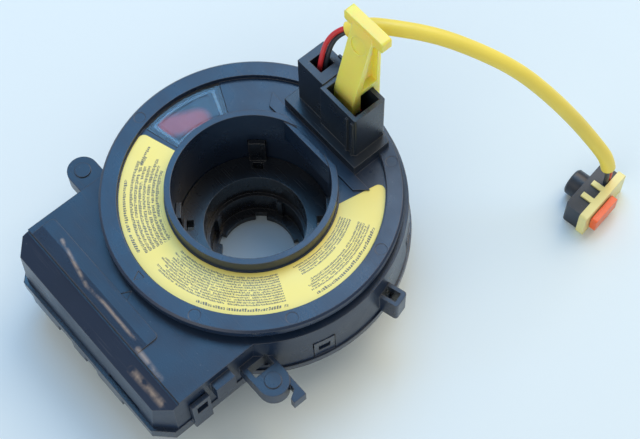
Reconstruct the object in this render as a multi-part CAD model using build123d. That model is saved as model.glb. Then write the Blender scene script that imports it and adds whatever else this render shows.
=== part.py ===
from build123d import *
import math
import os

# Steering clock spring, millimetres.  The origin is the centre of the column bore in the
# underside of the hub; +Z runs up the steering axis, -Y points to the harness connectors
# and +Y to the connector tower that turns with the wheel.

# ---------------------------------------------------------------- general fits
RUN_GAP = 0.3          # air between pieces that move against each other
SEAT_GAP = 0.1         # air round a piece that is pressed or clipped in its pocket
WALL = 1.8             # moulded wall of the housings

# ---------------------------------------------------------------- rotor disc
RING_R = 50.0          # rim of the turning disc
RING_TOP = 47.0        # height of the rim's top face
RING_BEVEL = 0.7
RIM_W = 5.9            # width of the flat rim
STEP_R = RING_R - RIM_W        # the rim steps down to the label face here
LABEL_DROP = 1.9       # depth of the label face under the rim
DISC_T = 2.0           # floor of the disc under the label face
RIM_SKIRT = 3.3        # outer skirt that shows as the side of the rim
RIM_WALL = 1.4
RACE_WALL = 1.6        # inner skirt that runs just above the case
HUB_R = 26.2           # bore of the hub well
HUB_WALL = 1.8
LIP_RISE = 3.7         # raised lip round the hub well, above the rim
LIP_R = 28.3
CHORD_Y = 23.5         # flat that cuts the well off in front of the tower
CHORD_T = 1.8
CHORD_RISE = 3.0
CHORD_DEPTH = 9.0      # how far the flat's wall reaches down into the well
HOOK_WINDOW = (6.4, 3.9)      # width and height of the windows for the snap hooks
HOOK_AZIMUTHS = (51, 138, 231, 321)
MARK_DEPTH = 0.25      # moulded alignment arrows and ejector marks
MARK_SIZE = 3.2
EJECTOR_R = 2.0
EJECTOR_AZIMUTHS = (-167, -24, 22, 96, -62, 62)
BRIDGE_SPAN = (50.0, 130.0)    # web that joins the well to the tower's pad, azimuths

# ---------------------------------------------------------------- window, label
LENS_SPAN = (155.0, 195.0)    # azimuths of the lens pocket
LENS_R = (29.2, STEP_R)
LENS_T = 1.2
LENS_LEDGE = 1.7       # ledge that carries the lens, radially
LENS_LEDGE_ANGLE = 3.0
LENS_BEAD = 0.8        # raised frame moulded on the lens
LENS_BEAD_RISE = 0.3
LENS_BEAD_INSET = 1.0
FLAG_T = 0.7           # red neutral flag under the lens
FLAG_INSET = 0.8
LABEL_R = (28.8, STEP_R - 0.4)
LABEL_START = 197.5    # azimuth of the label's radial end
LABEL_T = 0.15
LABEL_CUT = ((22.0, 19.0), (25.0, 35.2))      # its slanted end beside the tower
LABEL_CORNER = 2.2

# ---------------------------------------------------------------- hub sleeve
SHELF_Z = 23.0         # floor of the hub well
SHELF_T = 3.3
FLANGE_R = 29.5        # flange that runs under the cover
FLANGE_T = 2.0
TUBE_R = 17.5          # bore of the upper sleeve
TUBE_STEP_R = 16.2     # and below its step
TUBE_STEP_Z = 12.0
TUBE_WALL = 2.0
BORE_R = 12.8          # hole for the steering shaft
BORE_T = 2.5
NOTCH = (4.0, 1.5)     # width and depth of the notches in that hole
NOTCH_AZIMUTHS = (56, 136, 212)
TONGUE_T = 1.7         # snap hooks that stand in the well
TONGUE_W = 5.8
TONGUE_TOP = 34.6
HOOK_REACH = 1.5
HOOK_H = 3.2
SLOT = (2.4, 3.8)      # moulding slot under each hook, radial and across
SLOT_R = 22.2
KEY_RIB_W = 2.2        # ribs down the bore of the sleeve
KEY_RIB_T = 1.1
KEY_RIB_AZIMUTHS = (20, 110, 200, 290)

# ---------------------------------------------------------------- connector tower
PAD_X = (-18.0, 17.2)  # raised pad of the disc that carries the tower
PAD_Y = 29.5
PAD_R = RING_R - 2.2
LEDGE_T = 3.0          # base plate of the tower
TOWER_TOP = 72.0
SMALL_X = (-15.3, -3.0)       # block that the lead comes out of
SMALL_Y = (33.7, 44.6)
SMALL_RISE = 0.6
SMALL_HOLE = 5.6
SMALL_HOLE_AT = (-9.6, 39.1)
SMALL_DEPTH = 12.6
BIG_X = (-3.0, 14.0)   # open socket
BIG_Y = (32.5, 45.4)
BIG_WALL = 1.5
BIG_FLOOR = 4.0
TOWER_CORNER = 0.8
RIB_T = 0.6            # keying ribs on the socket's front corner
RIB_W = 0.9
RIB_PITCH = 2.6
RIB_DROP = 2.0
PLUG_H = 5.0           # retainer that holds the two wires
PIN_W = 0.64           # square terminals
TOWER_PIN_H = 7.0
TOWER_PIN_COUNTS = (2, 4)      # rows, and terminals in a row
TOWER_PIN_PITCH = (4.2, 2.6)

# ---------------------------------------------------------------- lock key
KEY_X = (-1.3, 7.9)    # width of the shank
KEY_LEG_T = 3.5        # leg that stands in the socket
KEY_LEG_Y = 36.7
KEY_FOOT_GAP = 2.0     # air between that leg and the terminals
KEY_BEND_Z = 69.0      # above this the shank leans back
KEY_HEAD_T = 3.8       # depth of the shank at its top
KEY_TOP = 99.5
KEY_BACK_T = 2.7       # leg that hooks over the back of the socket
KEY_BACK_FOOT = 62.0
KEY_BAR_X = (-5.2, 12.4)
KEY_BAR_T = 3.7
KEY_BAR_H = 4.6
KEY_POCKET = 2.6       # recess in each side of the shank
KEY_WEB_RIM = 1.3
KEY_DIMPLE_R = 3.3
KEY_DIMPLE_T = 0.6
KEY_TRAVEL = 30.0

# ---------------------------------------------------------------- stator case
CASE_MARGIN = 1.5      # case radius beyond the rim, at the top
CASE_DRAFT = 1.0       # extra radius at the foot
CASE_TOP = 41.0
CASE_FOOT = 22.0
CASE_FLANGE = 1.7      # thickness of the top plates
CASE_LEDGE = 4.4       # the case reaches this far in under the rim
BLOCK_X = 39.8         # half width of the connector block
BLOCK_EDGE_Y = RING_R + 12.5   # outer edge of the top plate
BLOCK_STEP = 1.1
BLOCK_SHOULDER = (RING_R + 19.8, CASE_TOP - 3.4)     # foot of the sloping shoulder, Y and Z
BLOCK_OUT = RING_R + 21.0      # outer wall at its foot
BLOCK_CORNER = 6.0
BLOCK_ROOT_Y = 30.0
BLOCK_NOTCH_X = (11.0, 27.0)
BLOCK_NOTCH_H = 3.0
PAD_RISE = 0.6         # raised pad on the top plate
TOP_PAD_X = (-37.5, 18.3)
TOP_PAD_Y = (RING_R + 3.6, BLOCK_EDGE_Y - 0.2)
TOP_PAD_SLOPE = 4.2
TOP_PAD_CORNER = 1.5
CABLE_GATE = 14.0      # half width of the opening between drum and block
EAR_AT = (50.3, 33.9)
EAR_R = 5.4
EAR_TOP = 32.0
EAR_T = 6.5
EAR_POCKET = ((41.9, 46.0), (29.9, 37.4))
BOSS_R = 2.8
BOSS_RISE = 0.5
SEAT_R = 4.7           # flat seat under each ear, round its peg
SEAT_DROP = 0.5
PEG_R = 2.5            # locating peg under each ear
PEG_L = 8.0
PEG_CHAMFER = 0.6
CLIP_X = (55.2, 60.2)  # hook beside the right ear
CLIP_Y = (28.6, 33.4)
CLIP_H = 5.0
CLIP_ARM = 1.8
LOOP_AZIMUTH = 15.3
LOOP_REACH = 7.4       # how far the loop stands out from the drum
LOOP_W = 6.2
LOOP_HOLE_W = 3.4
LOOP_WALL = 1.7
LOOP_H = 10.0
GUIDE_Y = (RING_R - 7.0, RING_R + 0.5)       # guide block on the side of the block
GUIDE_OUT = 3.4
GUIDE_Z = (30.0, 37.6)
CATCH_Y = (RING_R + 4.0, RING_R + 7.6)       # wedge that the snap arms click over
CATCH_Z = (27.0, 31.0)
CATCH_OUT = 1.3
ARM_AZIMUTHS = (167, 78, 40, -14)      # drum snap arms
ARM_W = 7.4
ARM_T = 1.1
ARM_H = 10.0
ARM_RECESS = 1.3
ARM_WINDOW = (4.2, 3.6)
NIB_W = 3.4
NIB_H = 2.6

# ---------------------------------------------------------------- drum cover
COVER_T = 2.0
COVER_LIP = 0.6        # cover's rim beyond the foot of the case
COVER_LIP_DROP = 1.0
COVER_RIBS = 12
COVER_RIB = (1.2, 1.3)         # width and height of the ribs underneath
SHEET_T = 0.25         # slippery sheet under the ribbon

# ---------------------------------------------------------------- connector body
SILL_OUT = 1.3         # sill beyond the block's wall
SILL_H = 5.0
SILL_W = 2.4
SILL_SIDE = 0.4
FLOOR_T = 2.0
SHROUD_A_X = (-31.0, -3.0)
SHROUD_B_X = (4.0, 25.0)
SHROUD_Y = (RING_R + 5.5, RING_R + 18.0)
SHROUD_WALL = 1.6
SHROUD_CORNER = 1.0
SIDE_ARM_Y = (RING_R + 2.6, RING_R + 9.6)
SIDE_ARM_T = 1.6
SIDE_ARM_TOP = 34.0
TEETH = ((-31.0, -17.0), (-9.0, -2.0), (4.5, 18.0))
TOOTH_H = 5.0
TOOTH_T = 2.0
CARRIER_Y = (RING_R + 7.5, RING_R + 15.5)
CARRIER_H = 4.0
CARRIER_END = 1.5
THROAT_Y = (RING_R + 9.2, RING_R + 13.8)     # slot above each shroud for the terminals
THROAT_INSET = 4.6
BOSS_DROP = 3.0
PIN_COUNT_A = 8
PIN_COUNT_B = 4
PIN_PITCH = 2.4
PIN_ROW_Y = (RING_R + 10.4, RING_R + 12.6)
PIN_DROP = 10.0

# ---------------------------------------------------------------- ribbon cable
RIBBON_T = 0.5
RIBBON_Z = (23.0, 38.5)
RIBBON_AIR = 0.2       # between its last turn and the wall of the drum
RIBBON_TURNS = 4
RIBBON_BEND = 5.0      # bend where the ribbon leaves the drum
RIBBON_ROOT = 1.9      # its first turn starts this far from the hub's wall
JOINT_W = 14.0         # moulded end blocks of the ribbon
JOINT_T = 4.0
INNER_JOINT_SPAN = (0.0, 26.0)

# ---------------------------------------------------------------- airbag lead
WIRE_D = 1.7
SLEEVE_D = 5.2
SLEEVE = ((-7.7, 48.3, 84.3), (-3.8, 52.1, 87.45), (1.6, 56.2, 88.6), (13.2, 66.5, 86.9),
          (24.1, 75.7, 80.9), (33.8, 84.5, 71.8), (42.6, 91.8, 59.6), (50.6, 98.4, 45.9),
          (56.0, 102.5, 35.8), (59.9, 105.0, 29.0), (61.9, 106.2, 24.7), (62.9, 106.7, 20.2))
WIRE_PITCH = 1.9       # between the two wires where they enter the sleeve
RED_FOOT = (-9.6, 37.7)        # where each wire leaves its retainer
BLACK_FOOT = (-9.3, 40.0)
WIRE_RISE = 6.6        # straight stretch above the retainer
RED_BEND = 6.4         # straight stretch before the sleeve
BLACK_BEND = 5.4
TAIL_BEND = 4.2        # the same, below the sleeve

# ---------------------------------------------------------------- airbag connector
SQUIB_AT = (73.3, 90.7)        # its near corner on the table
SQUIB_TURN = 98.2      # direction of its long side, degrees
SQUIB_L = 23.4
SQUIB_H = 11.0
LOCK_X = (3.0, 15.5)
LOCK_T = 2.5
LOCK_Z = (2.2, 8.8)
LOCK_TRAVEL = 2.0
PRONG = (1.8, 3.2)     # section of the lock's prongs
PRONG_INSET = 2.0
COVER_Y = (3.0, 6.0)
BODY_Y = (6.0, 12.6)
BODY_X = (1.0, 22.6)
BARREL_R = 4.9
BARREL_X = 12.6
BARREL_END = 17.8
BARREL_CHAMFER = 0.6
CLAW_X = (6.6, 12.6)   # arms of the yellow cover over the body
CLAW_W = 2.0
CLAW_L = 4.4
CLAW_T = 0.8
CONTACT = (0.9, 2.2)
CONTACT_DEPTH = 4.0
CONTACT_PITCH = 3.4

# values that follow from the ones above
PLATE_TOP = RING_TOP - LABEL_DROP
PLATE_FOOT = PLATE_TOP - DISC_T
CASE_R = RING_R + CASE_MARGIN
CASE_IN_R = CASE_R - WALL
CASE_EYE_R = RING_R - CASE_LEDGE
LOOP_R = CASE_R + LOOP_REACH
COVER_FOOT = CASE_FOOT - COVER_T
HUB_OUT = HUB_R + HUB_WALL
RIBBON_START_R = HUB_OUT + RIBBON_ROOT
RIBBON_ROOM = CASE_IN_R - RIBBON_AIR - RIBBON_T / 2 - RIBBON_START_R
RIBBON_PITCH = RIBBON_ROOM / (RIBBON_TURNS + 0.5)
WALL_FOOT = CASE_FOOT + RUN_GAP
JOURNAL_R = HUB_R - 0.2
COVER_EYE_R = JOURNAL_R + RUN_GAP
FLANGE_TOP = COVER_FOOT - RUN_GAP
FLANGE_FOOT = FLANGE_TOP - FLANGE_T
TUBE_OUT = TUBE_R + TUBE_WALL
LEDGE_Z = RING_TOP + LEDGE_T
TOWER_PIN_TOP = LEDGE_Z + BIG_FLOOR + TOWER_PIN_H
KEY_LEG_FOOT = TOWER_PIN_TOP + KEY_FOOT_GAP
KEY_BACK_IN = BIG_Y[1] + RUN_GAP
KEY_BACK_OUT = KEY_BACK_IN + KEY_BACK_T
KEY_SLOPE = (KEY_BACK_OUT - KEY_HEAD_T - KEY_LEG_Y) / (KEY_TOP - KEY_BEND_Z)
SILL_FOOT = CASE_FOOT - SILL_H


# ---------------------------------------------------------------- helpers
def slab(x, y, z):
    """A rectangular solid between the given limits."""
    size = [high - low for low, high in (x, y, z)]
    middle = [(high + low) / 2 for low, high in (x, y, z)]
    return Pos(*middle) * Box(*size)


def prism(outline, z):
    """A closed plan outline raised between two heights."""
    face = make_face(Polyline(*outline, close=True))
    return Pos(0, 0, z[0]) * extrude(face, z[1] - z[0])


def side_prism(outline, x):
    """A closed outline in Y and Z, carried along X."""
    points = [(x[0], y, z) for y, z in outline]
    face = make_face(Polyline(*points, close=True))
    return extrude(face, x[1] - x[0], dir=(1, 0, 0))


def turned(outline, span=(0, 360)):
    """A closed outline of radius and height, turned about the steering axis."""
    points = [(r, 0, z) for r, z in outline]
    face = make_face(Polyline(*points, close=True))
    return Rot(0, 0, span[0]) * revolve(face, Axis.Z, revolution_arc=span[1] - span[0])


def sector(radii, span, z):
    """A piece of a flat ring."""
    inner, outer = radii
    return turned(((inner, z[0]), (outer, z[0]), (outer, z[1]), (inner, z[1])), span)


def drum(radius, z):
    """A round solid on the steering axis."""
    return Pos(0, 0, (z[0] + z[1]) / 2) * Cylinder(radius, z[1] - z[0])


def at(azimuth, shape):
    """Turns a shape that was made along +X to an azimuth."""
    return Rot(0, 0, azimuth) * shape


def polar(radius, azimuth):
    angle = math.radians(azimuth)
    return (radius * math.cos(angle), radius * math.sin(angle))


def mirrored(shape):
    """The same shape on the -X side."""
    return mirror(shape, about=Plane.YZ)


# ---------------------------------------------------------------- rotor
def arrow_mark(y, direction):
    """A shallow triangle on the -Y side, as moulded for the neutral position."""
    half = MARK_SIZE / 2
    tip = (0, y + direction * half)
    return (tip, (-half, y - direction * half), (half, y - direction * half))


def rotor_plate():
    skirt_z = RING_TOP - RIM_SKIRT
    race_z = CASE_TOP + RUN_GAP
    race_out = RING_R - RIM_WALL
    body = turned((
        (HUB_R, WALL_FOOT), (HUB_R, RING_TOP + LIP_RISE), (LIP_R, RING_TOP + LIP_RISE),
        (LIP_R, PLATE_TOP), (STEP_R, PLATE_TOP), (STEP_R, RING_TOP),
        (RING_R - RING_BEVEL, RING_TOP), (RING_R, RING_TOP - RING_BEVEL), (RING_R, skirt_z),
        (race_out, skirt_z), (race_out, race_z), (race_out - RACE_WALL, race_z),
        (race_out - RACE_WALL, PLATE_FOOT), (HUB_OUT, PLATE_FOOT), (HUB_OUT, WALL_FOOT)))
    # the lip stops where the flat of the well begins
    behind = CHORD_Y + CHORD_T
    body -= slab((-LIP_R, LIP_R), (behind, STEP_R), (RING_TOP, RING_TOP + LIP_RISE + 1))
    pad = slab(PAD_X, (PAD_Y, PAD_R), (PLATE_FOOT, RING_TOP)) & drum(STEP_R + 1, (0, RING_TOP))
    bridge = slab((-LIP_R, LIP_R), (behind, PAD_Y), (PLATE_FOOT, RING_TOP - 1))
    bridge &= sector((HUB_R, STEP_R), BRIDGE_SPAN, (PLATE_FOOT, RING_TOP - 1))
    flat = slab((-HUB_R, HUB_R), (CHORD_Y, behind), (RING_TOP - CHORD_DEPTH, RING_TOP + CHORD_RISE))
    flat &= drum(HUB_OUT - 0.2, (0, RING_TOP + CHORD_RISE))
    fill = slab((-HUB_R, HUB_R), (CHORD_Y, HUB_OUT), (RING_TOP - CHORD_DEPTH, PLATE_TOP))
    fill &= drum(HUB_OUT - 0.2, (0, PLATE_TOP))
    body += pad
    body += bridge
    body += flat
    body += fill
    # lens pocket and the opening under it
    ledge = LENS_LEDGE_ANGLE
    pocket_z = PLATE_TOP - LENS_T
    body -= sector(LENS_R, LENS_SPAN, (pocket_z, PLATE_TOP + 1))
    body -= sector((LENS_R[0] + LENS_LEDGE, LENS_R[1] - LENS_LEDGE),
                   (LENS_SPAN[0] + ledge, LENS_SPAN[1] - ledge), (PLATE_FOOT - 1, pocket_z))
    width, height = HOOK_WINDOW
    for azimuth in HOOK_AZIMUTHS:
        top = TONGUE_TOP - 0.3
        window = slab((HUB_R - 1, HUB_OUT + 1), (-width / 2, width / 2), (top - height, top))
        body -= at(azimuth, window)
    ring_middle = (STEP_R + RING_R) / 2
    body -= prism(arrow_mark(-ring_middle, -1), (RING_TOP - MARK_DEPTH, RING_TOP + 1))
    for azimuth in EJECTOR_AZIMUTHS:
        x, y = polar(ring_middle, azimuth)
        body -= Pos(x, y, RING_TOP) * Cylinder(EJECTOR_R, 2 * MARK_DEPTH * 0.5)
    return body


def window_lens():
    low, high = LENS_SPAN
    inner, outer = LENS_R
    gap = SEAT_GAP
    gap_angle = math.degrees(gap / inner)
    floor = PLATE_TOP - LENS_T
    radii = (inner + gap, outer - gap)
    span = (low + gap_angle, high - gap_angle)
    lens = sector(radii, span, (floor, PLATE_TOP))
    inset = LENS_LEDGE + LENS_BEAD_INSET
    turn = math.degrees(inset / inner)
    bead_turn = math.degrees(LENS_BEAD / inner)
    top = PLATE_TOP + LENS_BEAD_RISE
    frame = sector((inner + inset, outer - inset), (low + turn, high - turn), (PLATE_TOP, top))
    frame -= sector((inner + inset + LENS_BEAD, outer - inset - LENS_BEAD),
                    (low + turn + bead_turn, high - turn - bead_turn), (PLATE_TOP - 1, top + 1))
    return lens + frame


def neutral_flag():
    inset = LENS_LEDGE + FLAG_INSET
    turn = LENS_LEDGE_ANGLE + math.degrees(FLAG_INSET / LENS_R[0])
    top = PLATE_TOP - LENS_T
    return sector((LENS_R[0] + inset, LENS_R[1] - inset),
                  (LENS_SPAN[0] + turn, LENS_SPAN[1] - turn), (top - FLAG_T, top))


def label_film():
    inner, outer = LABEL_R
    (near_x, near_y), (far_x, far_y) = LABEL_CUT
    end_in = math.degrees(math.atan2(near_y, near_x))
    end_out = math.degrees(math.atan2(far_y, far_x))
    start_in, start_out = polar(inner, LABEL_START), polar(outer, LABEL_START)
    tip_in, tip_out = polar(inner, end_in), polar(outer, end_out)
    edge = [
        ThreePointArc(start_in, polar(inner, (LABEL_START + end_in + 360) / 2), tip_in),
        Line(tip_in, tip_out),
        ThreePointArc(tip_out, polar(outer, (LABEL_START + end_out + 360) / 2), start_out),
        Line(start_out, start_in)]
    face = make_face(edge)
    corners = [v for v in face.vertices() if abs(math.hypot(v.X, v.Y) - outer) < 0.01]
    face = fillet(corners, LABEL_CORNER)
    return Pos(0, 0, PLATE_TOP) * extrude(face, LABEL_T)


def hub_sleeve():
    shelf_foot = SHELF_Z - SHELF_T
    body = turned((
        (BORE_R, 0), (TUBE_OUT, 0), (TUBE_OUT, FLANGE_FOOT), (FLANGE_R, FLANGE_FOOT),
        (FLANGE_R, FLANGE_TOP), (JOURNAL_R, FLANGE_TOP), (JOURNAL_R, SHELF_Z), (TUBE_R, SHELF_Z),
        (TUBE_R, TUBE_STEP_Z), (TUBE_STEP_R, TUBE_STEP_Z), (TUBE_STEP_R, BORE_T), (BORE_R, BORE_T)))
    across = TONGUE_W / 2
    tongue_in = JOURNAL_R - TONGUE_T
    top = TONGUE_TOP - 0.4
    for azimuth in HOOK_AZIMUTHS:
        tongue = sector((tongue_in, JOURNAL_R), (-8, 8), (shelf_foot, TONGUE_TOP + 1))
        tongue &= slab((0, JOURNAL_R + 1), (-across, across), (shelf_foot, TONGUE_TOP))
        barb = side_prism(((JOURNAL_R - 0.5, top), (JOURNAL_R + HOOK_REACH, top - HOOK_H + 0.4),
                           (JOURNAL_R + HOOK_REACH, top - HOOK_H), (JOURNAL_R - 0.5, top - HOOK_H)),
                          (-across, across))
        body += at(azimuth, tongue)
        body += at(azimuth - 90, barb)
        slot = slab((SLOT_R - SLOT[0] / 2, SLOT_R + SLOT[0] / 2), (-SLOT[1] / 2, SLOT[1] / 2),
                    (0, SHELF_Z + 1))
        body -= at(azimuth, slot)
    for azimuth in KEY_RIB_AZIMUTHS:
        rib = slab((TUBE_STEP_R - KEY_RIB_T, TUBE_STEP_R + 0.5), (-KEY_RIB_W / 2, KEY_RIB_W / 2),
                   (BORE_T, TUBE_STEP_Z))
        body += at(azimuth, rib)
    for azimuth in NOTCH_AZIMUTHS:
        notch = slab((0, BORE_R + NOTCH[1]), (-NOTCH[0] / 2, NOTCH[0] / 2), (-1, BORE_T + 1))
        body -= at(azimuth, notch)
    return body


# ---------------------------------------------------------------- connector tower
def tower_pin_places():
    rows, columns = TOWER_PIN_COUNTS
    centre_x = (BIG_X[0] + BIG_X[1]) / 2
    centre_y = (BIG_Y[0] + BIG_Y[1]) / 2
    return [(centre_x + (column - (columns - 1) / 2) * TOWER_PIN_PITCH[1],
             centre_y + (row - (rows - 1) / 2) * TOWER_PIN_PITCH[0])
            for row in range(rows) for column in range(columns)]


def socket_tower():
    base = slab(PAD_X, (PAD_Y, PAD_R), (RING_TOP, LEDGE_Z)) & drum(PAD_R, (0, LEDGE_Z))
    small = slab(SMALL_X, SMALL_Y, (RING_TOP, TOWER_TOP + SMALL_RISE))
    big = slab(BIG_X, BIG_Y, (RING_TOP, TOWER_TOP))
    outer = big.edges().filter_by(Axis.Z).sort_by(Axis.X)[-2:]
    big = fillet(outer, TOWER_CORNER)
    body = base + small + big
    inside = [(low + BIG_WALL, high - BIG_WALL) for low, high in (BIG_X, BIG_Y)]
    body -= slab(inside[0], inside[1], (LEDGE_Z + BIG_FLOOR, TOWER_TOP + 1))
    half = SMALL_HOLE / 2
    hole_x, hole_y = SMALL_HOLE_AT
    body -= slab((hole_x - half, hole_x + half), (hole_y - half, hole_y + half),
                 (TOWER_TOP - SMALL_DEPTH, TOWER_TOP + 2))
    for index in range(2):
        x = BIG_X[1] - TOWER_CORNER - RIB_W - index * RIB_PITCH
        body += slab((x, x + RIB_W), (BIG_Y[0] - RIB_T, BIG_Y[0] + 0.5),
                     (RING_TOP + 1, TOWER_TOP - RIB_DROP))
    return body


def tower_terminals():
    floor = LEDGE_Z + BIG_FLOOR
    half = PIN_W / 2
    return [slab((x - half, x + half), (y - half, y + half), (floor, floor + TOWER_PIN_H))
            for x, y in tower_pin_places()]


def lead_retainer():
    half = SMALL_HOLE / 2 - SEAT_GAP
    x, y = SMALL_HOLE_AT
    foot = TOWER_TOP - SMALL_DEPTH
    return slab((x - half, x + half), (y - half, y + half), (foot, foot + PLUG_H))


# ---------------------------------------------------------------- lock key
def lock_key():
    lean = KEY_SLOPE
    front_top = KEY_BACK_OUT - KEY_HEAD_T
    back_in = KEY_BACK_IN
    back_out = KEY_BACK_OUT
    saddle = TOWER_TOP + RUN_GAP
    leg_back = KEY_LEG_Y + KEY_LEG_T
    outline = (
        (KEY_LEG_Y, KEY_LEG_FOOT + 1), (KEY_LEG_Y, KEY_BEND_Z), (front_top, KEY_TOP),
        (back_out, KEY_TOP), (back_out, KEY_BACK_FOOT), (back_in, KEY_BACK_FOOT),
        (back_in, saddle), (leg_back, saddle), (leg_back, KEY_LEG_FOOT), (KEY_LEG_Y + 1, KEY_LEG_FOOT))
    body = side_prism(outline, KEY_X)
    rim = KEY_WEB_RIM
    pocket_foot = saddle + 1.5 * rim
    pocket_top = KEY_TOP - 3 * rim
    pocket = (
        (KEY_LEG_Y + (pocket_foot - KEY_BEND_Z) * lean + 2 * rim, pocket_foot),
        (KEY_LEG_Y + (pocket_top - KEY_BEND_Z) * lean + rim, pocket_top),
        (back_out - rim, pocket_top), (back_out - rim, pocket_foot))
    body -= side_prism(pocket, (KEY_X[0] - 1, KEY_X[0] + KEY_POCKET))
    body -= side_prism(pocket, (KEY_X[1] - KEY_POCKET, KEY_X[1] + 1))
    bar = slab(KEY_BAR_X, (0, KEY_BAR_T), (-KEY_BAR_H, 0))
    bar = fillet(bar.edges().filter_by(Axis.Y), 0.8)
    body += Pos(0, back_out - KEY_BAR_T, KEY_TOP + KEY_BAR_H / 2) * bar
    middle = (KEY_X[0] + KEY_X[1]) / 2
    dimple_z = KEY_TOP - 2 * KEY_DIMPLE_R
    dimple_y = KEY_LEG_Y + (dimple_z - KEY_BEND_Z) * lean
    dimple = Pos(middle, dimple_y, dimple_z) * Rot(90 - math.degrees(math.atan(lean)), 0, 0) * Cylinder(
        KEY_DIMPLE_R, 2 * KEY_DIMPLE_T)
    return body - dimple


# ---------------------------------------------------------------- stator case
def block_outline(grow):
    """Plan of the connector block, with its outer corners cut off."""
    x, y = BLOCK_X + grow, BLOCK_OUT + grow
    cut = BLOCK_CORNER + grow * 0.4
    return ((-x, -BLOCK_ROOT_Y), (-x, -y + cut), (-x + cut, -y), (x - cut, -y), (x, -y + cut),
            (x, -BLOCK_ROOT_Y))


def block_profile(inset):
    """Side view of the block: top plate, step, sloping shoulder and outer wall."""
    shoulder_y, shoulder_z = BLOCK_SHOULDER
    edge = BLOCK_EDGE_Y - inset
    top = CASE_TOP - inset
    return ((0, CASE_FOOT), (-BLOCK_OUT + inset, CASE_FOOT), (-shoulder_y + inset, shoulder_z - inset),
            (-edge - 0.6, top - BLOCK_STEP), (-edge, top - BLOCK_STEP), (-edge, top), (0, top))


def case_ear():
    """Right-hand ear: a rounded tab with a boss on top and a locating peg below."""
    x, y = EAR_AT
    z = (EAR_TOP - EAR_T, EAR_TOP)
    ear = Pos(x, -y, (z[0] + z[1]) / 2) * Cylinder(EAR_R, EAR_T)
    ear += slab((BLOCK_X - 1, x), (-y - EAR_R, -y + EAR_R), z)
    ear += Pos(x, -y, EAR_TOP + BOSS_RISE / 2) * Cylinder(BOSS_R, BOSS_RISE)
    peg = Cylinder(PEG_R, PEG_L)
    peg = chamfer(peg.edges().sort_by(Axis.Z)[0], PEG_CHAMFER)
    ear += Pos(x, -y, z[0] - SEAT_DROP / 2) * Cylinder(SEAT_R, SEAT_DROP)
    return ear + Pos(x, -y, z[0] - PEG_L / 2) * peg


def case_clip():
    """Hook on the outer side of the right ear."""
    top = EAR_TOP - 1
    arm = slab((EAR_AT[0], CLIP_X[1]), (-CLIP_Y[0] - CLIP_ARM, -CLIP_Y[0]), (top - CLIP_H, top))
    hook = prism(((CLIP_X[0] + 1.4, -CLIP_Y[0]), (CLIP_X[1], -CLIP_Y[0]), (CLIP_X[1], -CLIP_Y[1]),
                  (CLIP_X[1] - CLIP_ARM, -CLIP_Y[1]), (CLIP_X[1] - 2 * CLIP_ARM, -CLIP_Y[0] - CLIP_ARM)),
                 (top - CLIP_H, top))
    return arm + hook


def case_loop():
    """Open rectangular loop on the side of the drum."""
    half = LOOP_W / 2
    z = (EAR_TOP - LOOP_H, EAR_TOP)
    body = slab((CASE_R - 1, LOOP_R), (-half, half), z)
    body = fillet(body.edges().filter_by(Axis.Z).sort_by(Axis.X)[-2:], 1.2)
    hole = slab((CASE_R + 0.6, LOOP_R - LOOP_WALL), (-LOOP_HOLE_W / 2, LOOP_HOLE_W / 2),
                (z[0] - 1, z[1] + 1))
    return at(LOOP_AZIMUTH, body - hole)


def top_pad():
    """Raised pad near the outer edge of the top plate, with one sloping facet."""
    near, far = TOP_PAD_Y
    profile = ((-far, CASE_TOP - 0.3), (-far, CASE_TOP + 0.1), (-far + TOP_PAD_SLOPE, CASE_TOP + PAD_RISE),
               (-near, CASE_TOP + PAD_RISE), (-near, CASE_TOP - 0.3))
    pad = side_prism(profile, TOP_PAD_X)
    inner = pad.edges().filter_by(Axis.Z).sort_by(Axis.Y)[-2:]
    return fillet(inner, TOP_PAD_CORNER)


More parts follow.
